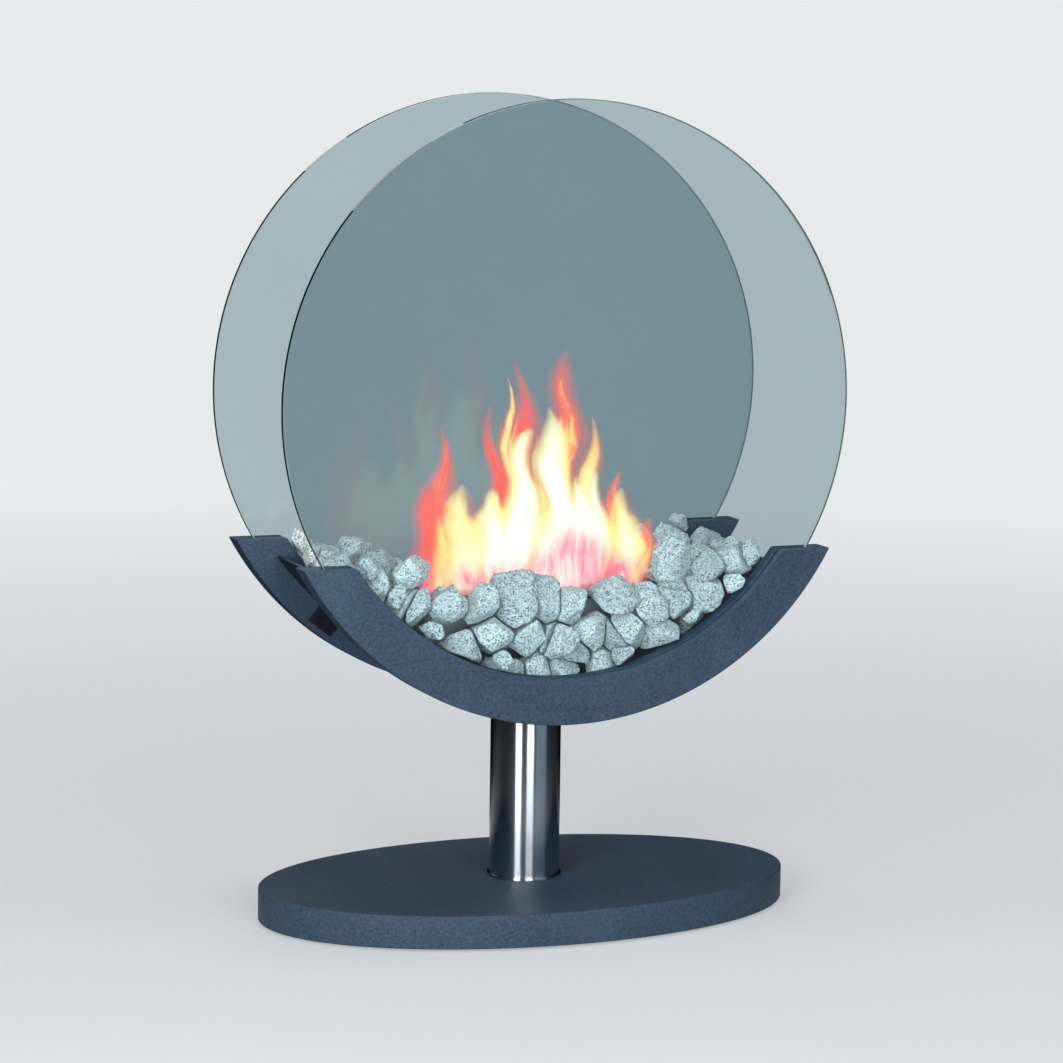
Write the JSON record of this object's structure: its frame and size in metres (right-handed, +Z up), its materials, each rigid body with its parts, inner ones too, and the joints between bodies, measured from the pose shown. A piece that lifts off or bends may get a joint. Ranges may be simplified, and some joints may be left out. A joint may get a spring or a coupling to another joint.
{
  "type": "bioethanol fireplace",
  "caption": "Free-standing bioethanol fireplace: glass discs in slotted crescents round a trough of stones and a burner with a sliding damper, on a steel column and oval base.",
  "frame": {"origin": "on the floor, under the middle of the oval base", "axes": "+Z up through the column; +X to the right, along the base's long axis and in the plane of the glass discs; the front disc faces -Y"},
  "size_m": [0.5, 0.284, 0.695],
  "materials": {
    "pad_rubber": "matt black sheet rubber",
    "anthracite_coat": "blue-grey anthracite powder coat with a fine grain",
    "polished_steel": "polished stainless steel",
    "plain_steel": "brushed stainless steel",
    "blackened_steel": "dark heat-proof coat",
    "smoked_glass": "lightly smoked toughened float glass with ground edges",
    "silicone": "black silicone glazing strip",
    "ceramic_fibre": "white ceramic fibre block",
    "granite": "broken speckled light grey granite"
  },
  "bodies": {
    "stand": {"floor_pad": "pad_rubber", "base_plate": "anthracite_coat", "column_foot": "polished_steel", "column_tube": "polished_steel", "column_saddle": "blackened_steel", "tie_rod": "plain_steel", "lower_washer": "plain_steel", "lower_nut": "plain_steel", "upper_washer": "plain_steel", "upper_nut": "plain_steel", "tray": "blackened_steel", "front_crescent": "anthracite_coat", "front_seal": "silicone", "rear_crescent": "anthracite_coat", "rear_seal": "silicone", "front_left_lug": "blackened_steel", "front_left_lug_screw": "plain_steel", "front_right_lug": "blackened_steel", "front_right_lug_screw": "plain_steel", "rear_left_lug": "blackened_steel", "rear_left_lug_screw": "plain_steel", "rear_right_lug": "blackened_steel", "rear_right_lug_screw": "plain_steel", "left_burner_support": "blackened_steel", "right_burner_support": "blackened_steel", "stone_01": "granite", "stone_02": "granite", "stone_03": "granite", "stone_04": "granite", "stone_05": "granite", "stone_06": "granite", "stone_07": "granite", "stone_08": "granite", "stone_09": "granite", "stone_10": "granite", "stone_11": "granite", "stone_12": "granite", "stone_13": "granite", "stone_14": "granite", "stone_15": "granite", "stone_16": "granite", "stone_17": "granite", "stone_18": "granite", "stone_19": "granite", "stone_20": "granite", "stone_21": "granite", "stone_22": "granite", "stone_bed_front": "granite", "stone_bed_rear": "granite", "stone_bed_left": "granite", "stone_bed_right": "granite"},
    "front_disc": {"front_glass": "smoked_glass"},
    "rear_disc": {"rear_glass": "smoked_glass"},
    "burner": {"burner_tank": "plain_steel", "absorber_block": "ceramic_fibre", "burner_lid": "blackened_steel"},
    "damper": {"damper_plate": "plain_steel", "damper_knob": "plain_steel"}
  },
  "joints": [
    {"name": "front_disc_lift", "type": "slide", "parent": "stand", "child": "front_disc", "axis": [0, 0, 1], "range_m": [0, 0.1]},
    {"name": "rear_disc_lift", "type": "slide", "parent": "stand", "child": "rear_disc", "axis": [0, 0, 1], "range_m": [0, 0.1]},
    {"name": "burner_lift", "type": "slide", "parent": "stand", "child": "burner", "axis": [0, 0, 1], "range_m": [0, 0.08]},
    {"name": "damper_slide", "type": "slide", "parent": "burner", "child": "damper", "axis": [0, -1, 0], "range_m": [0, 0.044]}
  ]
}
